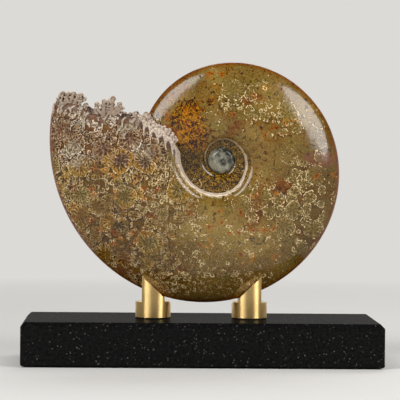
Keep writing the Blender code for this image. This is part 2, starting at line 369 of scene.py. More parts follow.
def make_wall_rows(rim, distance):
    """The chamber wall that closes the open end: rings that shrink towards the middle. Outside the inner
    whorl they sink and are fluted; over it they lean out in lumps as large as a pea."""
    back = np.array([math.sin(TURN_END), 0, math.cos(TURN_END)])
    middle = rim.mean(axis=0)
    share = np.linspace(0, 0.97, WALL_RINGS + 1)[1:, None]
    run = np.cumsum(np.linalg.norm(np.diff(rim, axis=0, append=rim[:1]), axis=1))
    outer = smooth_step(distance, 57 * MM, 69 * MM)
    sink = WALL_SINK * np.sin(share * math.pi / 2) ** 0.7 * outer
    lean = WALL_LEAN * np.sin(np.minimum(share * 2.2, 1) * math.pi / 2) * (1 - outer)
    round_it = TAU * run / run[-1]
    flute = np.cos(round(run[-1] / FLUTE_SPACING) * round_it + 1.6 * np.sin(3 * round_it))
    flute = FLUTE_DEPTH * np.sin(share * math.pi) ** 0.6 * (1 - share) * flute * outer
    lumps = waves(run / (1.1 * MM), share * 34, 11, 7) * (1 - share) ** 2
    lumps = lumps * MM * (1.0 + 2.2 * (1 - outer)) * np.minimum(share * 9, 1)
    level = sink - lean + flute + lumps
    rows = middle + (rim[None] - middle) * (1 - share)[..., None] + back * level[..., None]
    return rows, (1 - outer) * np.clip(1.6 - share * 1.8, 0, 1)


def make_dome():
    """The first turns, filled and ground round: a ball about the depth axis, as wide as the root of the
    sine from end to end, with a shallow furrow along a logarithmic spiral."""
    around, up = np.meshgrid(
        np.arange(DOME_AROUND) * TAU / DOME_AROUND, np.linspace(0.02, math.pi - 0.02, DOME_RINGS)
    )
    out, cos, sin = np.sin(up), np.cos(around), np.sin(around)
    furrow = 0.35 * MM * np.sin(6.4 * np.log(np.maximum(out, 0.03)) + around) * out
    height = DOME_HEIGHT + furrow + 0.25 * MM * waves(9 * out * cos, 9 * out * sin, 5)
    radius = DOME_RADIUS * out**0.5
    points = POLE + np.stack([radius * cos, -height * np.cos(up), radius * sin], axis=-1)
    count = DOME_RINGS * DOME_AROUND
    faces = ring_faces(DOME_RINGS, DOME_AROUND) + cap_faces(0, DOME_AROUND, count)
    faces += cap_faces(count - DOME_AROUND, DOME_AROUND, count + 1)
    points = np.concatenate([points.reshape(-1, 3), points[[0, -1]].mean(axis=1)])
    return face_outwards(new_piece("first_turns", points, faces))


# --- the frills

# Fingers along the broken edge, in mm: distance from the pole and stand-out at the foot and at the tip,
# then the radius at each. A finger of two or more rows forks.
FRONT_FINGERS = [
    (123.6, -6, 123.4, -2.4, 1.3, 1.0), (119.5, -6, 120.4, 4.6, 1.9, 0.9), (120, 0, 122.2, 2.4, 0.9, 0.7),
    (117.5, -6, 117.2, 7.6, 2.4, 1.5), (114, -6, 113.7, 8.8, 2.6, 1.8), (110.6, -6, 110.3, 8.0, 2.8, 1.8),
    (108.4, -5, 107.4, 4.6, 1.8, 0.9), (87.5, -4, 91.2, 8.6, 3.2, 1.7), (91.2, 8.0, 91.9, 10.8, 1.5, 1.6),
    (89.4, 2.0, 94.0, 4.4, 1.8, 1.1), (85, -4, 85, 4.6, 4.6, 3.2), (83.6, 2, 86.3, 11.4, 2.7, 1.2),
    (86.3, 11.4, 87.5, 15.2, 1.2, 1.5), (82.6, 5, 81.7, 12.8, 2.1, 1.5), (82, 6, 79.6, 11.0, 1.4, 1.0),
    (82, 4.4, 78.9, 8.2, 1.4, 0.9), (66.4, -1, 68.2, 8.8, 2.5, 1.4), (66, 3.4, 64.4, 8.2, 1.6, 1.0),
    (62.4, 0, 61.8, 9.6, 2.6, 1.5),
]
BACK_FINGERS = [
    (122.5, -6, 122.0, -1, 1.6, 1.1), (119.0, -6, 119.4, 4.4, 2.2, 1.4), (115.5, -6, 114.4, 8, 2.8, 1.6),
    (115, 3, 117.4, 7, 1.3, 1.0), (109.5, -6, 109.4, 10, 3.0, 1.5), (109.4, 4, 106.4, 8.6, 1.5, 1.0),
    (104.5, -5, 103.4, 5, 2.2, 1.1), (94.0, -4, 96.2, 8, 3.0, 1.4), (90.0, -4, 89.4, 13.5, 3.4, 1.4),
    (90, 5, 92.6, 10.5, 1.6, 1.1), (85.0, -4, 84.0, 9.5, 2.8, 1.3), (75.0, -1, 75.6, 8, 2.4, 1.3),
    (69.4, -1, 68.6, 11.5, 2.8, 1.4), (69, 5, 71.2, 9.6, 1.4, 1.0), (64.0, 0, 62.8, 8.6, 2.6, 1.4),
]
KEEL_FINGERS = [(-7, 5), (-4, 8), (-1, 4), (2.5, 7), (6, 5)]  # (place across the keel, stand-out)
# The line of the apron's top, in mm: (distance from the pole, stand-out)
APRON = [(62, 9.5), (58, 7.5), (54, 5.5), (50, 4.6), (46, 4.8), (42, 3.4), (38, 1.5), (35.5, -1.5)]
APRON_STEP, APRON_ROWS = 2.6, 6
FINGER_LAYERS, LAYER_DEPTH, SKIN_OVER_THEM = 3, 2.2, 0.35  # the last two in mm
KNOB_SPACING = 4.2 * MM
FRILL_CELL = 0.405 * MM
ROD_AROUND = 10
ROD_RISE = [2, 30, 60, 90, 90, 120, 150, 178]  # degrees from a rod's foot over its two half balls


def edge_place(distance, stand, depth, face):
    """A point past the broken edge: under the flank's skin by its depth, and carried on round the pole by
    its stand-out over its distance."""
    height = np.maximum(flank_height(TURN_END, np.minimum(distance, keel_at(TURN_END))), 0)
    side = face * np.maximum(height - depth, 0)
    return on_coil(TURN_END + stand / distance, distance, side)


def draw_fingers(fingers, face, draw):
    """Rods and knobs as rows of (start, end, start radius, end radius): each finger in three layers one
    behind the other, slim at its neck, with a three-lobed tip and pairs of knobs on its sides."""
    rods = []
    across = np.array([math.cos(TURN_END), 0, -math.sin(TURN_END)])
    for foot, low, tip, high, wide, narrow in fingers:
        thick, thin = wide * 0.86 * MM, narrow * 0.8 * MM
        for layer in range(FINGER_LAYERS):
            shift = draw.uniform(-0.5, 0.5) * layer
            grown = 1 - (0.12 + 0.10 * draw.uniform(-1, 1)) * layer
            top = low + (high - low) * grown
            under = SKIN_OVER_THEM + LAYER_DEPTH * layer
            start, end = [
                edge_place(reach * MM, stand * MM, under * MM + radius, face)
                for reach, stand, radius in ((foot, low, thick), (tip + shift, top, thin))
            ]
            rods.append((start, end, thick, thin))
            length = np.linalg.norm(end - start)
            along = (end - start) / length
            spots = [(1.0, lean, 0.9) for lean in (-72, 0, 72)]
            steps = int(length / KNOB_SPACING)
            spots += [(1 - (k + 0.8) / (steps + 0.5), sign * 70, 0.8) for k in range(steps) for sign in (-1, 1)]
            for share, lean, fat in spots:
                turned = math.radians(lean + draw.uniform(-16, 16))
                way = along * math.cos(turned) + across * math.sin(turned)
                way = way + np.array([0, draw.uniform(-0.3, 0.3), 0])
                base = start + (end - start) * share
                girth = thick + (thin - thick) * share
                size = fat * draw.uniform(0.75, 1.05) * MM
                rods.append((base, base + way * (girth * 0.75 + size * 0.6), size * 0.7, size))
    return rods


def draw_keel_fingers(draw):
    """Short fingers over the keel, between the front's and the back's."""
    rods = []
    for across, stand in KEEL_FINGERS:
        for shift in (0, 1.8):
            distance = keel_at(TURN_END) - (3.0 + 0.10 * across * across + shift) * MM
            side = (across + draw.uniform(-0.6, 0.6)) * MM
            foot = on_coil(TURN_END - 7 * MM / distance, distance, side)
            tip = on_coil(TURN_END + (stand - shift) * MM / distance, distance, side * 1.1)
            rods.append((foot, tip, 1.5 * MM, 1.1 * MM))
            for _ in range(7):
                way = unit(draw.normal(size=3))
                base = foot + (tip - foot) * draw.uniform(0.5, 1.0)
                rods.append((base, base + way * 1.7 * MM, 0.8 * MM, draw.uniform(0.6, 0.9) * MM))
    return rods


def draw_apron(face, draw):
    """Lumps down the step from the last whorl's flank to the one inside it, in white chalky rows."""
    rods = []
    path = np.array(APRON)
    lengths = np.concatenate([[0], np.cumsum(np.hypot(*np.diff(path, axis=0).T))])
    for spot in np.arange(0, lengths[-1], APRON_STEP):
        distance, stand = [np.interp(spot, lengths, path[:, k]) * MM for k in (0, 1)]
        top = flank_height(TURN_END, distance)
        floor = flank_height(TURN_END - TAU, np.minimum(distance, keel_at(TURN_END - TAU)))
        for share in np.arange(APRON_ROWS) / (APRON_ROWS - 1):
            lean = (1.2 + 4.2 * share) * MM + draw.uniform(-0.5, 0.5) * MM
            turn = TURN_END + (stand - 2 * MM + lean) / distance
            place = on_coil(turn, distance, face * (top - 1.6 * MM + (floor - top) * share))
            place = place + draw.uniform(-0.6, 0.6, 3) * MM
            end = place + draw.uniform(-0.8, 0.8, 3) * MM
            rods.append((place, end, draw.uniform(1.3, 2.0) * MM, draw.uniform(1.0, 1.7) * MM))
    return rods


def make_rods(rods):
    """All the rods as capsules: rings about each rod's line, over a half ball at either end and a cone
    between them."""
    start, end = [np.array([rod[k] for rod in rods])[:, None, None, :] for k in (0, 1)]
    small, large = [np.array([rod[k] for rod in rods])[:, None, None] for k in (2, 3)]
    axis = unit(end - start + np.array([0, 1e-6, 1e-6]))
    helper = np.where(np.abs(axis[..., :1]) < 0.8, np.array([1.0, 0, 0]), np.array([0, 1.0, 0]))
    first = unit(np.cross(axis, helper))
    second = np.cross(axis, first)
    rise = (np.array(ROD_RISE) * math.pi / 180)[None, :, None]
    around = (np.arange(ROD_AROUND) * TAU / ROD_AROUND)[None, None, :]
    rings = len(ROD_RISE)
    far = (np.arange(rings) >= rings // 2)[None, :, None]
    radius = np.where(far, large, small)
    points = np.where(far[..., None], end, start) - axis * (radius * np.cos(rise) + 0 * around)[..., None]
    spoke = first * np.cos(around)[..., None] + second * np.sin(around)[..., None]
    points = points + (radius * np.sin(rise))[..., None] * spoke
    count = rings * ROD_AROUND
    block = ring_faces(rings, ROD_AROUND)
    block += [tuple(range(ROD_AROUND - 1, -1, -1)), tuple(range(count - ROD_AROUND, count))]
    faces = [tuple(corner + count * k for corner in face) for k in range(len(rods)) for face in block]
    return new_piece("edge_frills", points, faces)


def make_frills():
    """Rods fused by a fine voxel grid, and pressed in to the last whorl's width. Three soft masks go
    with them: how chalky, how far a place stands out from its surroundings, which the material turns
    into painted highlight and shade, and the skin left on top."""
    draw = np.random.default_rng(7)
    rods = draw_fingers(FRONT_FINGERS, -1, draw) + draw_fingers(BACK_FINGERS, 1, draw)
    rods += draw_keel_fingers(draw) + draw_apron(-1, draw) + draw_apron(1, draw)
    piece = make_rods(rods)
    fuse = piece.modifiers.new("fuse", "REMESH")
    fuse.mode, fuse.voxel_size, fuse.use_smooth_shade = "VOXEL", FRILL_CELL, True
    settle(piece)
    relax(piece, 0.5, 1)
    sharp = read(piece, "co")
    offset = sharp - POLE
    far = np.hypot(offset[:, 0], offset[:, 2])
    ground = flank_height(TURN_END, np.minimum(far, keel_at(TURN_END) * 0.999))
    proud = np.maximum(np.abs(sharp[:, 1]) - np.maximum(ground, 6 * MM), 0)
    sharp[:, 1] -= np.sign(sharp[:, 1]) * proud * smooth_step(far, 62 * MM, 66 * MM)
    piece.data.vertices.foreach_set("co", sharp.ravel())
    piece.data.update()
    # how far each point stands out from a smoothed copy, for painted highlight on the crests and painted shade
    # in the hollows
    relaxed = in_scene("relaxed", piece.data.copy())
    relax(relaxed, 0.8, 12)
    normals = read(piece, "normal")
    crest = np.sum((sharp - read(relaxed, "co")) * normals, axis=1)
    bpy.data.objects.remove(relaxed)
    on_top = smooth_step(ground - np.abs(sharp[:, 1]), 2.2 * MM, 1.0 * MM)
    flat = smooth_step(np.abs(normals[:, 1]), 0.80, 0.97) * on_top
    turn = np.arctan2(-offset[:, 2], offset[:, 0]) % TAU
    stand = (turn - TURN_END) * far - edge_line(far, sharp[:, 1])
    inner = smooth_step(far, 64 * MM, 56 * MM)
    chalk = np.maximum(smooth_step(stand, 5 * MM, -1 * MM) * 0.8, inner)
    store(piece.data, "edge", np.stack([chalk, crest / (0.25 * MM), flat * (1 - inner)], axis=-1))
    return piece


# --- materials

BACKDROP = "#dcdad6"
# What the word after a node's kind sets on it
VARIANTS = {
    "Math": "operation",
    "VectorMath": "operation",
    "Mix": "data_type",
    "TexNoise": "noise_dimensions",
    "TexVoronoi": "voronoi_dimensions",
}


def linear(colour):
    """sRGB hex to linear red, green, blue and alpha."""
    parts = [int(colour[place : place + 2], 16) / 255 for place in (1, 3, 5)]
    return (*[part / 12.92 if part <= 0.04045 else ((part + 0.055) / 1.055) ** 2.4 for part in parts], 1)


def add(tree, kind, *values, out=0, stops=(), **settings):
    """One node. The word after its kind is its operation, data type or dimensions. A kind in capitals is a
    Math node's operation, and a product or a maximum may have many values. Values go to the open sockets
    in order, capitalised settings to the socket of that name, and the rest set the node. A value may be
    another node's socket or a hex colour. Stops are a ramp's (place, colour), the lowest first."""
    if kind in ("MULTIPLY", "MAXIMUM") and len(values) > 2:
        values = (add(tree, kind, *values[:-1]), values[-1])
    kind, _, variant = ("Math " + kind if kind.isupper() else kind).partition(" ")
    made = tree.nodes.new("ShaderNode" + kind)
    if variant:
        setattr(made, VARIANTS[kind], variant)
    for key, value in settings.items():
        if key[0].islower():
            setattr(made, key, value)
    sockets = [socket for socket in made.inputs if socket.enabled]
    pairs = list(zip(sockets, values))
    for key, value in settings.items():
        if key[0].isupper():
            pairs.append((next(s for s in sockets if s.name == key.replace("_", " ")), value))
    for socket, value in pairs:
        if isinstance(value, bpy.types.NodeSocket):
            tree.links.new(value, socket)
        else:
            socket.default_value = linear(value) if isinstance(value, str) else value
    for number, (place, colour) in enumerate((*stops[:1], *stops[-1:])):
        end = made.color_ramp.elements[number]
        end.position, end.color = place, linear(colour)
    for place, colour in stops[1:-1]:
        made.color_ramp.elements.new(place).color = linear(colour)
    outputs = [socket for socket in made.outputs if socket.enabled]
    return outputs[out] if isinstance(out, int) else next(s for s in outputs if s.name == out)


def draw_surface(owner, draw):
    """Gives a material or a world the shader that draw makes with its nodes."""
    owner.use_nodes = True
    tree = owner.node_tree
    end = next(node for node in tree.nodes if node.name.endswith("Output"))
    for spare in [node for node in tree.nodes if node != end]:
        tree.nodes.remove(spare)
    tree.links.new(draw(partial(add, tree)), end.inputs["Surface"])
    return owner


def granite(node):
    """Black granite (a fine dark dolerite), diamond-sawn and polished: near black with sparse pale
    feldspar flakes under a millimetre."""
    where = node("TexCoord", out="Object")
    flakes = node("SeparateColor", node("TexVoronoi", where, Scale=1300, out="Color"))
    grain = node("MapRange", node("TexNoise", where, Scale=500, Detail=3), 0.35, 0.75)
    colour = node("Mix RGBA", grain, "#090909", "#1a1a1a")
    colour = node("Mix RGBA", node("MapRange", flakes, 0.975, 1), colour, "#55534f")
    coat = {"Coat_Weight": 0.1, "Coat_Roughness": 0.12}
    return node("BsdfPrincipled", Base_Color=colour, Roughness=0.35, Specular_IOR_Level=0, **coat)


def brass(node):
    """Free-cutting brass bar, lathe-turned and brushed: warm yellow, with level tool lines 0.4 mm apart
    that draw its highlights out into upright bands."""
    where = node("TexCoord", out="Object")
    streaks = node("VectorMath MULTIPLY", where, (60, 60, 2500))
    lines = node("TexNoise", streaks, Scale=1, Detail=3)
    cloud = node("TexNoise", where, Scale=90, Detail=2)
    colour = node("Mix RGBA", lines, "#e0bb78", "#efd090")
    colour = node("Mix RGBA", node("MapRange", cloud, 0.5, 0.75, 0, 0.25), colour, "#b98f4a")
    rough = node("MapRange", lines, 0.3, 0.7, 0.34, 0.38)
    bump = node("Bump", Strength=0.015, Distance=0.0002, Height=lines)
    facing = node("NewGeometry", out="Normal")
    level = node("VectorMath CROSS_PRODUCT", facing, (0, 0, 1))
    upright = node("VectorMath CROSS_PRODUCT", level, facing)
    turned = {"Anisotropic": 0.95, "Tangent": upright, "Normal": bump}
    return node("BsdfPrincipled", Base_Color=colour, Metallic=1, Roughness=rough, **turned)


def steel(node):
    """Cap screws of zinc-plated steel: bright and slightly blue, clouded where the plating took unevenly
    over marks some 0.3 mm wide."""
    where = node("TexCoord", out="Object")
    cloud = node("TexNoise", where, Scale=400, Detail=3)
    marks = node("TexNoise", where, Scale=3000, Detail=2)
    colour = node("Mix RGBA", cloud, "#9fa0a0", "#c6c8c9")
    rough = node("MapRange", cloud, 0.3, 0.7, 0.24, 0.38)
    bump = node("Bump", Strength=0.1, Distance=0.0001, Height=marks)
    return node("BsdfPrincipled", Base_Color=colour, Metallic=1, Roughness=rough, Normal=bump)


def felt(node):
    """Pressed wool felt, dyed black: matt, with a soft nap of fibres drawn 0.5 mm apart, coarser than
    they are, and a pale bloom at grazing angles."""
    where = node("TexCoord", out="Object")
    fibres = node("TexNoise", where, Scale=2000, Detail=4, Roughness=0.7, Distortion=1.5)
    colour = node("Mix RGBA", node("MapRange", fibres, 0.35, 0.65), "#121214", "#2a2a2d")
    bump = node("Bump", Strength=0.5, Distance=0.0003, Height=fibres)
    nap = {"Specular_IOR_Level": 0.2, "Sheen_Weight": 0.4, "Sheen_Roughness": 0.6}
    return node("BsdfPrincipled", Base_Color=colour, Roughness=0.95, Normal=bump, **nap)


def fans(node, where, wobble, cell, seed, petals, doublings, reaches=(0.36, 0.52)):
    """Moss-like fans of one cell size in mm: wavy petals round a centre, one more on some, that double in
    number with each doubling of the distance, pale where two meet and at their round tips and dark along
    their middles. A fan ends in the deeply cut lobes of its last petals at its own radius, or where it
    meets its neighbour. Gives the pale lines, the dark veins, the mm past the outline, how near a place
    is to a cut between lobes, and the fan's lot."""
    shifted = node("VectorMath ADD", where, (seed * 37, seed * 91, 0))
    cells = {"Scale": 1 / cell, "Randomness": 0.9}
    near, second = [node("TexVoronoi 2D", shifted, feature=order, **cells) for order in ("F1", "F2")]
    lot = near.node.outputs["Color"]
    own = node("SeparateColor", lot).node.outputs
    local = node("VectorMath SUBTRACT", shifted, near.node.outputs["Position"])
    local = node("SeparateXYZ", local).node.outputs
    shake = node("SeparateXYZ", wobble).node.outputs
    petals_here = node("FLOOR", node("MULTIPLY_ADD", own["Blue"], 2, petals))
    turn = node("MULTIPLY", node("ARCTAN2", local["Y"], local["X"]), 1 / TAU)
    turn = node("MULTIPLY_ADD", shake["X"], 1.4 / (petals * 2**doublings), turn)
    level = node("LOGARITHM", node("MULTIPLY", near, cell / 1.4), 2)
    level = node("MAXIMUM", node("MULTIPLY_ADD", shake["Y"], 1.3, level), 0)
    ring = node("MINIMUM", node("FLOOR", level), doublings)
    rise = node("SUBTRACT", level, ring)
    count = node("MULTIPLY", node("POWER", 2, ring), petals_here)
    lobes = node("MULTIPLY", petals_here, 2**doublings)
    # across each petal, and across each lobe: 0 along its middle and 1 where it meets the next
    petal, lobe = [
        node("MULTIPLY", node("PINGPONG", node("MULTIPLY_ADD", turn, number, 0.5), 0.5), 2)
        for number in (count, lobes)
    ]
    bow, notch = [node("MULTIPLY", across, across) for across in (petal, lobe)]
    notch = node("MULTIPLY", notch, notch)
    span = node("DIVIDE", near, node("MapRange", own["Green"], 0, 1, *reaches))
    edge = node("MAXIMUM", node("MULTIPLY", node("DIVIDE", near, second), 1.04), span)
    edge = node("MULTIPLY_ADD", notch, 0.34, node("MULTIPLY_ADD", bow, 0.05, edge))
    edge = node("MULTIPLY", node("SUBTRACT", edge, 1), cell * 0.44)
    tip = node("SUBTRACT", node("MULTIPLY_ADD", bow, 0.45, rise), 0.9)
    arc = node("MapRange", node("ABSOLUTE", tip), 0.04, 0.11, 0.7, 0)
    line = node("MAXIMUM", arc, node("MapRange", petal, 0.66, 0.92, 0, 0.9))
    line = node("MULTIPLY", line, node("MapRange", edge, -4.5, -1, 0.12, 0.8))
    vein = node("MULTIPLY", node("MapRange", petal, 0.5, 0.14), node("MapRange", tip, -0.1, -0.24))
    return line, vein, edge, lobe, lot


def fossil(node):
    """Polished ammonite: calcite-filled chambers under a lapped and waxed skin. Olive and brown translucent
    calcite, with the chamber walls cut through as cream moss-like fans some 3 to 19 mm across."""
    where = node("Attribute", attribute_name="plane", out="Vector")
    at = SimpleNamespace()
    for key, names in SHELL_MASKS.items():
        parts = node("SeparateXYZ", node("Attribute", attribute_name=key, out="Vector"))
        vars(at).update(zip(names, parts.node.outputs))
    off_band = node("SUBTRACT", 1, at.band)

    # each unevenness: (name, its size in mm, detail, roughness, distortion)
    noise = SimpleNamespace(**{
        name: node("TexNoise 2D", where, Scale=1 / size, Detail=detail, Roughness=rough, Distortion=twist)
        for name, size, detail, rough, twist in (
            ("broad", 24, 3, 0.5, 0), ("bend", 9, 1, 0.5, 0), ("shake", 3, 2, 0.6, 0), ("fine", 1.1, 2, 0.5, 0),
            ("smoke", 13, 2, 0.5, 0.8), ("tiny", 2.4, 1, 0.5, 2.2), ("speckle", 1.9, 4, 0.7, 1.4),
            ("clumps", 6.5, 2, 0.5, 1), ("grains", 0.9, 2, 0.7, 0), ("hue", 15, 2, 0.5, 1),
            ("mottle", 3.4, 4, 0.7, 0.8), ("grit", 1.3, 2, 0.6, 0), ("swell", 7, 2, 0.5, 0),
        )
    })
    bend, shake = [
        node("VectorMath SUBTRACT", cloud.node.outputs["Color"], (0.5, 0.5, 0.5))
        for cloud in (noise.bend, noise.shake)
    ]
    bend = node("VectorMath SCALE", bend, Scale=5)
    stretch, uneven = [node("SeparateXYZ", vector, out="Z") for vector in (bend, shake)]
    bent = node("VectorMath ADD", where, bend)
    fine = node("MapRange", noise.fine, 0.3, 0.7)

    # three sizes of fan, the larger ones on top where their lot says so, each casting a rim of painted
    # shadow on the fans below
    large = fans(node, bent, shake, 18.5, 1, 4, 2)
    middle = fans(node, bent, shake, 10, 2, 4, 1)
    line, vein, edge, lobe, lot = fans(node, bent, shake, 3.1, 3, 4, 0, (0.44, 0.6))
    room_for = node("MapRange", node("MAXIMUM", at.moss, at.small), 0.1, 0.6, 0.2, 0.72)
    kept = node("LESS_THAN", node("SeparateColor", lot), room_for)
    faint = node("MapRange", uneven, -0.05, 0.05, 0.35, 1)
    line = node("MULTIPLY", kept, faint, line)
    edge = node("Mix FLOAT", kept, 9, edge)
    hollow, body = 0, 0.7
    for (*upper, upper_lot), chance in ((middle, 0.8), (large, 0.85)):
        limit = node("MapRange", at.small, 0, 1, chance, chance * 0.25)
        chosen = node("LESS_THAN", node("SeparateColor", upper_lot), limit)
        shadow = node("MULTIPLY", node("MapRange", upper[2], 1.8, 0.5), chosen)
        hollow = node("MAXIMUM", hollow, shadow)
        chosen = node("MULTIPLY", chosen, node("MapRange", upper[2], 0.2, 0))
        through = node("MULTIPLY", line, node("MapRange", upper[2], -4.5, -3, 0.8, 0))
        upper[0] = node("MAXIMUM", upper[0], through)
        line, vein, edge, lobe, hollow, body = [
            node("Mix FLOAT", chosen, below, above)
            for below, above in zip((line, vein, edge, lobe, hollow, body), (*upper, 0, 1))
        ]
        lot = node("Mix RGBA", chosen, lot, upper_lot)
    lots = node("SeparateColor", lot).node.outputs
    inside = node("MapRange", edge, 0.1, -0.1)
    body = node("MULTIPLY", body, inside)
    lit = node("MapRange", hollow, 0, 1, 1, 0.25)
    outline = node("MapRange", node("ABSOLUTE", node("ADD", edge, 0.3)), 0.4, 0.12)
    outline = node("MULTIPLY", outline, lit)
    tip_line = node("MULTIPLY", outline, node("MapRange", lobe, 0.45, 0.9, 1, 0.12))
    side_line = node("MULTIPLY", line, inside)
    line = node("MAXIMUM", node("MULTIPLY", side_line, lit), outline)
    lip = node("MULTIPLY", node("MapRange", edge, -3.2, -1.4), node("MapRange", body, 0.75, 0.95))
    inner_vein = node("MULTIPLY", vein, inside)

    # soft tones and the lines along the rim, seam and break, shaken before they are cut so that their
    # edges are ragged: (name, where it ends, where it is full, how far it is shaken)
    ragged = SimpleNamespace(**{
        name: node("MapRange", node("MULTIPLY_ADD", uneven, spread, vars(at)[name]), low, high)
        for name, low, high, spread in (
            ("moss", 0.35, 0.65, 1.1), ("mauve", 0.25, 0.75, 0.7), ("amber", 0.3, 0.6, 2.6),
            ("russet", 0.4, 0.65, 1.4), ("dark", 0.35, 0.75, 1.2), ("gold", 0.35, 0.5, 0.9),
            ("pink", 0.3, 0.8, 0.9), ("chalk", 0.45, 0.6, 1.8), ("coral", 0.3, 0.75, 1.4),
            ("floor", 0.4, 0.6, 0.8), ("rim", 6, 1.6, 6), ("ledge", 1.15, 0.75, 0.9), ("edge_gap", 8, 3.5, 12),
        )
    })
    # low down the moss clears in places to smooth, smoky calcite
    smoke = node("MapRange", node("MULTIPLY_ADD", uneven, 0.25, noise.smoke), 0.47, 0.58, 0, 0.85)
    smoke = node("MULTIPLY", smoke, node("MAXIMUM", at.shade, at.small), use_clamp=True)
    moss = node("MULTIPLY", ragged.moss, node("SUBTRACT", 1, smoke))

    # away from the moss only stretches of the outlines show, brightest at the lobes' round tips, and
    # low down curls a millimetre or two long between them
    bits = node("MULTIPLY_ADD", stretch, 0.08, node("MULTIPLY_ADD", at.curls, 0.13, uneven))
    bits = node("MapRange", bits, 0.03, 0.11)
    some = node("MapRange", node("MULTIPLY_ADD", at.curls, 0.5, lots["Red"]), 0.6, 0.66)
    curls = node("MULTIPLY", side_line, node("MapRange", edge, -3, -0.8, 0, 0.75))
    curls = node("MULTIPLY", node("MAXIMUM", tip_line, curls), bits, some, 1.25, use_clamp=True)
    tiny = node("MapRange", node("ABSOLUTE", node("SUBTRACT", noise.tiny, 0.5)), 0.006, 0.026, 0.9, 0)
    tiny = node("MULTIPLY", tiny, node("MapRange", uneven, -0.04, 0.08, 0.1, 1), at.small)
    trace = node("MULTIPLY", at.curls, some, 0.65)
    fade = node("MapRange", uneven, -0.1, 0.06, 0.35, 1)
    dense = node("MULTIPLY", line, fade, node("MapRange", lots["Green"], 0.1, 0.6, 0.8, 1.1), moss)
    line = node("MAXIMUM", dense, curls, tiny)

    # amber leaf spots with dark hearts, a few millimetres across
    spot = node("TexVoronoi 2D", bent, Scale=1 / 7.5, Randomness=1)
    own = node("SeparateColor", spot.node.outputs["Color"]).node.outputs
    spot = node("MULTIPLY_ADD", uneven, -1.5, spot)
    chosen = node("GREATER_THAN", node("MULTIPLY_ADD", at.spots, 0.55, own["Red"]), 1.06)
    leaf = node("MULTIPLY", node("MapRange", spot, 0.24, 0.14), chosen)
    heart = node("MULTIPLY", node("MapRange", spot, 0.1, 0.02), leaf)

    # white claws where the last chamber's wall meets the skin: a band with teeth 5.8 mm apart low down,
    # and wandering streaks 6.2 mm apart that run in from the broken edge further out, with painted
    # shadow in the gaps between the streaks
    tooth = node("MULTIPLY_ADD", at.edge_gap, 0.35, node("MULTIPLY_ADD", uneven, 1.6, at.far))
    tooth = node("POWER", node("PINGPONG", node("MULTIPLY", tooth, 2 / 5.8), 1), 2.5)
    teeth = node("MULTIPLY_ADD", uneven, -4, node("MULTIPLY_ADD", tooth, -7.5, at.edge_gap))
    teeth = node("MapRange", teeth, 2.8, 1.8)
    wander = node("MULTIPLY_ADD", stretch, 2.5, node("MULTIPLY_ADD", uneven, 4.5, at.far))
    wander = node("PINGPONG", node("MULTIPLY", wander, 2 / 6.2), 1)
    streak_gap = node("MULTIPLY_ADD", at.edge_gap, 0.11, node("MULTIPLY", wander, 3.1))
    streak_gap = node("MULTIPLY_ADD", uneven, 3.8, node("MULTIPLY_ADD", stretch, 0.8, streak_gap))
    claws = node("MULTIPLY", node("MapRange", streak_gap, 1.5, 1), off_band)
    claw_gap = node("MapRange", node("ABSOLUTE", node("SUBTRACT", streak_gap, 1.9)), 0.45, 0.15)

    # the amber corner: grains and small fans in iron-stained brown, orange and black
    speckle = node("MULTIPLY_ADD", node("SUBTRACT", noise.clumps, 0.55), 0.55, noise.speckle)
    iron = node("ValToRGB", node("MULTIPLY_ADD", at.amber, 0.09, speckle), stops=(
        (0.38, "#180b03"), (0.47, "#3c1c08"), (0.53, "#70340a"), (0.58, "#9c5a14"),
        (0.625, "#cc9436"), (0.655, "#dcb668"), (0.7, "#80521a"), (0.78, "#6a5218"),
    ))
    iron = node("Mix RGBA", inner_vein, iron, "#2a1406")
    bare_line = node("MULTIPLY", tip_line, node("MapRange", uneven, -0.02, 0.05, 0.7, 0))
    iron = node("Mix RGBA", bare_line, iron, "#c79a4c")

    colour = node("Mix RGBA", node("MapRange", noise.broad, 0.3, 0.7), "#775f37", "#a18859")
    mottle = node("MapRange", noise.mottle, 0.46, 0.64)
    grains = node("MapRange", node("MULTIPLY_ADD", uneven, 0.45, noise.grains), 0.44, 0.68)
    fan_body = node("Mix RGBA", lots["Red"], "#3a1f06", "#a57f40")
    fan_body = node("Mix RGBA", node("MapRange", lots["Blue"], 0.55, 0.75, 0, 0.7), fan_body, "#6f6a3a")
    fan_body = node("Mix RGBA", node("MapRange", lots["Green"], 0.2, 0.1, 0, 0.7), fan_body, "#7a4410")
    grey_body = node("Mix RGBA", lots["Red"], "#5f4330", "#7f5d46")
    fan_body = node("Mix RGBA", ragged.mauve, fan_body, grey_body)
    cream = node("Mix RGBA", ragged.mauve, "#f6e2b8", "#ecd8c0")
    cream = node("Mix RGBA", ragged.coral, cream, "#f6ecdc")
    pale = node("Mix RGBA", fine, "#a08e7c", "#ecdfd2")
    streak = node("MULTIPLY", node("MULTIPLY_ADD", uneven, 0.5, at.ledge), 4.6)
    streak = node("MapRange", node("MULTIPLY_ADD", fine, 0.5, node("PINGPONG", streak, 1)), 0.15, 1.2)
    white = node("MULTIPLY", node("MULTIPLY_ADD", line, 0.25, ragged.chalk), ragged.chalk)

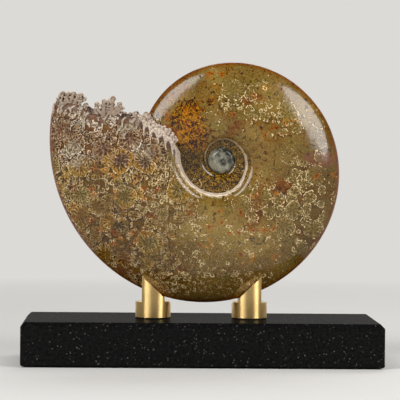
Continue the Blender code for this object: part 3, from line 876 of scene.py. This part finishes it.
    # each layer: (where it lies, or what is multiplied to say so, how strongly, its colour, or what
    # chooses between two and the two)
    for places, strength, shade in (
        (node("MapRange", noise.hue, 0.44, 0.3), 0.45, "#7f7c48"),
        (node("MapRange", node("MULTIPLY_ADD", uneven, 0.3, noise.hue), 0.54, 0.68), 0.45, "#8c5a22"),
        (mottle, 0.4, "#988358"),
        (at.glow, 0.55, "#b19c68"),
        (at.shade, 0.7, "#4c3612"),
        (fine, 0.35, "#54401f"),
        (node("MapRange", uneven, 0.06, 0.12), 0.5, "#4a2f14"),
        (ragged.moss, 0.6, (mottle, "#472808", "#80602c")),
        (ragged.mauve, 0.5, "#7a5238"),
        (node("MapRange", noise.grit, 0.6, 0.68), 0.4, "#b99c60"),
        (node("MapRange", noise.grit, 0.4, 0.32), 0.3, "#44290e"),
        (ragged.edge_gap, 0.85, (fine, "#5f4433", "#8a6c5c")),
        ((node("MapRange", at.edge_gap, 8, 5), at.band), 0.9, "#5f4c43"),
        # pink-lilac tone, and low on the rim a painted reflection
        (ragged.pink, 0.6, "#83594c"),
        ((ragged.russet, node("MapRange", fine, 0, 1, 0.55, 1)), 0.85, (mottle, "#6a3410", "#96581a")),
        # dark brown tone, and beside the pole partly painted shadow
        (ragged.dark, 0.75, "#33210f"),
        ((body, trace), 0.9, "#8d7d50"),
        # painted shadow round the upper fans, where curls are traced
        ((hollow, trace), 0.9, "#4a3412"),
        ((body, moss), 0.9, fan_body),
        ((lip, moss), 0.45, "#a88a52"),
        # painted shadow round the upper fans, in the moss
        ((hollow, moss), 0.85, "#351a06"),
        ((inner_vein, node("MAXIMUM", trace, moss)), 0.88, "#2e1606"),
        ((lip, ragged.gold), 0.9, (fine, "#85621a", "#ad8a38")),
        ((lip, moss, node("MapRange", lots["Green"], 0.84, 0.88)), 0.6, "#a87c24"),
        ((body, moss, ragged.coral), 0.65, (lots["Red"], "#8d8068", "#b9a98f")),
        ((body, moss, ragged.coral, vein), 0.6, "#4f463a"),
        (ragged.amber, 0.92, iron),
        # the floor of the hollow: brown calcite darkened as painted shade deep in the hollow, with golden
        # grains under a millimetre
        (ragged.floor, 0.95, (grains, "#241204", "#b08f50")),
        # the dark tone again, deeper; beside the pole partly painted shadow over the hollow's floor
        (ragged.dark, 0.35, "#1a0e05"),
        (leaf, 0.85, (own["Green"], "#a0500e", "#cf8a24")),
        (heart, 0.75, "#4a1606"),
        (line, 0.9, cream),
        (ragged.rim, 0.7, "#84431c"),
        (node("MapRange", at.rim, 1.6, 0.5), 0.8, "#5c2c10"),
        # the pale ledge along the seam: pale calcite, brightened towards white as a painted highlight where it
        # faces the lamps
        ((ragged.ledge, at.seam_kept), 0.92, (streak, "#cdae82", "#fffaf2")),
        # the white step: chalky calcite, partly a painted highlight where it faces the lamps
        (white, 0.9, pale),
        ((teeth, at.band), 0.95, pale),
        # painted shadow in the gaps between the claws
        ((claw_gap, off_band), 0.55, "#2c1a10"),
        (claws, 0.8, (fine, "#9d917f", "#e4dbcc")),
        ((node("MapRange", streak_gap, 0.6, 0.1), claws), 0.5, "#7d7f70"),
    ):
        if isinstance(shade, tuple):
            shade = node("Mix RGBA", *shade)
        factors = places if isinstance(places, tuple) else (places,)
        part = node("MULTIPLY", *factors, strength, use_clamp=True)
        colour = node("Mix RGBA", part, colour, shade)
    # wax and polish deepen every tone and make it purer
    colour = node("Gamma", colour, 1.18)
    colour = node("HueSaturation", Saturation=1.12, Value=0.97, Color=colour)
    worn = node("MAXIMUM", node("MapRange", at.edge_gap, 5, 1), white)
    rough = node("Mix FLOAT", worn, node("MapRange", fine, 0, 1, 0.1, 0.18), 0.55)
    height = node("MULTIPLY_ADD", noise.swell, 0.5, node("MULTIPLY", white, 0.9, fine))
    bump = node("Bump", Strength=0.6, Distance=0.0004, Height=height)
    return node("BsdfPrincipled", Base_Color=colour, Roughness=rough, IOR=1.45, Normal=bump)


def frill_stone(node):
    """Weathered calcite of the chamber walls: dull grey-brown with a grain of some 2 mm, painted paler
    on its crests as highlight and darker in its hollows as shade, with chalk left near the skin and over
    the inner turns."""
    where = node("TexCoord", out="Object")
    parts = node("SeparateXYZ", node("Attribute", attribute_name="edge", out="Vector")).node.outputs
    grain = node("TexNoise", where, Scale=520, Detail=3)
    shaken = node("SUBTRACT", grain, 0.5)
    white = node("MapRange", node("MULTIPLY_ADD", shaken, 1.8, parts["X"]), 0.45, 0.75)
    crest = node("MapRange", node("MULTIPLY_ADD", shaken, 0.8, parts["Y"]), -0.35, 0.85)
    # painted light: paler on the crests as highlight, darker in the hollows as shade
    stone, chalk = [
        node("ValToRGB", crest, stops=tuple(zip((0, 0.45, 1), shades)))
        for shades in (("#382c22", "#84705c", "#ccbaa6"), ("#5e4c3e", "#a8917f", "#dfcdbe"))
    ]
    colour = node("Mix RGBA", white, stone, chalk)
    skin = node("Mix RGBA", grain, "#7a6452", "#a8917c")
    colour = node("Mix RGBA", node("MULTIPLY", parts["Z"], 0.85), colour, skin)
    rough = node("MapRange", parts["Z"], 0, 1, 0.6, 0.25)
    bump = node("Bump", Strength=0.3, Distance=0.0002, Height=grain)
    return node("BsdfPrincipled", Base_Color=colour, Roughness=rough, Specular_IOR_Level=0.35, Normal=bump)


def dome_stone(node):
    """Grey-green calcite of the first turns, ground and polished: clouded some 4 mm across, and paler to
    the lower left."""
    where = node("TexCoord", out="Object")
    cloud = node("TexNoise", where, Scale=260, Detail=5, Roughness=0.65, Distortion=0.6)
    parts = node("SeparateXYZ", where).node.outputs
    middle = POLE[0] + POLE[2]
    lower = node("ADD", parts["X"], parts["Z"])
    lower = node("MapRange", lower, middle + 8 * MM, middle - 12 * MM, -0.1, 0.1)
    tint = node("MapRange", node("ADD", cloud, lower), 0.34, 0.7)
    colour = node("Mix RGBA", tint, "#1c1e15", "#9c9885")
    return node("BsdfPrincipled", Base_Color=colour, Roughness=0.2, IOR=1.56)


def seen_directly(node):
    """1 where the eye looks straight at a surface, or at it in a mirror or through glass."""
    rays = node("LightPath").node.outputs
    return node("MAXIMUM", *[rays[f"Is {kind} Ray"] for kind in ("Camera", "Glossy", "Transmission")])


def paper(node):
    """Matt studio paper: lit and shaded near the object, and an even pale tone of its own further out."""
    lit = node("BsdfPrincipled", Base_Color="#d8d6d2", Roughness=0.9, Specular_IOR_Level=0.1)
    out = node("VectorMath LENGTH", node("TexCoord", out="Object"))
    far = node("MULTIPLY", node("MapRange", out, 0.2, 1), seen_directly(node))
    return node("MixShader", far, lit, node("Emission", BACKDROP, 1))


def room(node):
    """The dim even room, whose wall looks as pale as the floor up to some ten degrees above it."""
    up = node("SeparateXYZ", node("TexCoord", out="Generated"), out="Z")
    low = node("MULTIPLY", node("MapRange", up, 0.35, 0.17), seen_directly(node))
    return node("MixShader", low, node("Background", "#ffffff", 0.13), node("Background", BACKDROP, 1))


# --- pieces

SHARP = math.radians(32)  # edges sharper than this stay crisp


def finish_piece(piece, material, replaces=None):
    """Gives a piece its material and body, and hides the solid it stands in for, if any."""
    piece.data.materials.clear()
    piece.data.materials.append(material)
    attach(piece, "root")
    if replaces:
        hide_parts(replaces)


def carry_over(node, name, material, bevel=0.0):
    """A clean copy of a solid's mesh: corners merged, smooth but for its sharp edges."""
    piece = in_scene(name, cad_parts[node].data.copy())
    bm = bmesh.new()
    bm.from_mesh(piece.data)
    bmesh.ops.remove_doubles(bm, verts=bm.verts, dist=0.00001)
    bmesh.ops.dissolve_limit(bm, angle_limit=math.radians(0.5), verts=bm.verts, edges=bm.edges)
    bm.to_mesh(piece.data)
    bm.free()
    piece.data.shade_smooth()
    piece.data.set_sharp_from_angle(angle=SHARP)
    if bevel:
        edge = piece.modifiers.new("soft_edges", "BEVEL")
        edge.width, edge.segments, edge.harden_normals = bevel, 2, True
        edge.limit_method, edge.angle_limit = "ANGLE", SHARP
    finish_piece(piece, material, node)


# --- studio

LAMP_TARGET, LAMP_DISTANCE = Vector((0, 0, 0.13)), 0.95
# (name, degrees off the object's front axis, degrees round it from the right, width round it, width off
# it, radiance)
LAMPS = [
    ("soft_box_right", 56, 33, 0.66, 0.40, 8.9),
    ("soft_box_left", 56, 136, 0.84, 0.42, 8.3),
    ("soft_box_behind", 134, 70, 1.1, 0.6, 3.2),
]
EYE, YAW_PITCH_ROLL, FOCAL_LENGTH = (-0.047, -1.5151, 0.1483), (1.721, 1.283, 0.507), 193.2


def make_floor():
    """A wide round pale floor: rings of points about the middle, at level 0."""
    sides = 64
    around = np.arange(sides) * TAU / sides
    radius = np.array([0.001, 0.3, 1.0, 3.0, 9.0])[:, None]
    grid = np.stack([radius * np.cos(around), radius * np.sin(around), 0 * radius * around], axis=-1)
    faces = ring_faces(len(radius), sides) + [tuple(range(sides))]
    floor = face_outwards(new_piece("studio_floor", grid, faces))
    if floor.data.polygons[0].normal.z < 0:
        floor.data.flip_normals()
    floor.data.materials.append(draw_surface(bpy.data.materials.new("pale_paper"), paper))


def make_lights():
    """Two soft boxes in front, a weaker one behind and a dim even room."""
    for name, off_axis, lift, size_x, size_y, radiance in LAMPS:
        lean, rise = math.radians(off_axis), math.radians(lift)
        way = Vector((math.sin(lean) * math.cos(rise), -math.cos(lean), math.sin(lean) * math.sin(rise)))
        along = Vector((-math.sin(rise), 0, math.cos(rise)))
        lamp = bpy.data.lights.new(name, "AREA")
        lamp.shape, lamp.size, lamp.size_y = "ELLIPSE", size_x, size_y
        lamp.energy = radiance * math.pi * size_x * size_y * math.pi / 4
        holder = in_scene(name, lamp)
        turned = Matrix((along, way.cross(along), way)).transposed().to_4x4()
        holder.matrix_world = Matrix.Translation(LAMP_TARGET + way * LAMP_DISTANCE) @ turned
        holder.visible_camera = False
    bpy.context.scene.world = draw_surface(bpy.data.worlds.new("room"), room)


def make_camera():
    """A long lens at eye height, a little left of the middle and turned to it."""
    lens = bpy.data.cameras.new("camera")
    lens.sensor_width, lens.lens, lens.clip_end = 36, FOCAL_LENGTH, 20
    holder = in_scene("camera", lens)
    yaw, pitch, roll = [math.radians(value) for value in YAW_PITCH_ROLL]
    turned = Matrix.Rotation(-yaw, 4, "Z") @ Matrix.Rotation(math.pi / 2 - pitch, 4, "X")
    holder.matrix_world = Matrix.Translation(EYE) @ turned @ Matrix.Rotation(roll, 4, "Z")
    bpy.context.scene.camera = holder


def main():
    looks = {
        name: draw_surface(bpy.data.materials.new(name), draw)
        for name, draw in (
            ("polished_calcite", fossil), ("cloudy_calcite", dome_stone),
            ("weathered_calcite", frill_stone), ("black_granite", granite),
            ("turned_brass", brass), ("zinc_plated_steel", steel), ("black_felt", felt),
        )
    }
    finish_piece(make_shell(), looks["polished_calcite"], "ammonite")
    finish_piece(make_dome(), looks["cloudy_calcite"])
    finish_piece(make_frills(), looks["weathered_calcite"])
    carry_over("base_slab", "granite_slab", looks["black_granite"], 0.8 * MM)
    for side in ("left", "right"):
        carry_over("support_" + side, "brass_post_" + side, looks["turned_brass"], 0.4 * MM)
        carry_over("screw_" + side, "cap_screw_" + side, looks["zinc_plated_steel"])
        for depth in ("front", "back"):
            pad = f"{depth}_{side}"
            carry_over("pad_" + pad, "felt_pad_" + pad, looks["black_felt"])
    bpy.context.scene.view_settings.view_transform = "Standard"
    make_floor()
    make_lights()
    make_camera()


main()
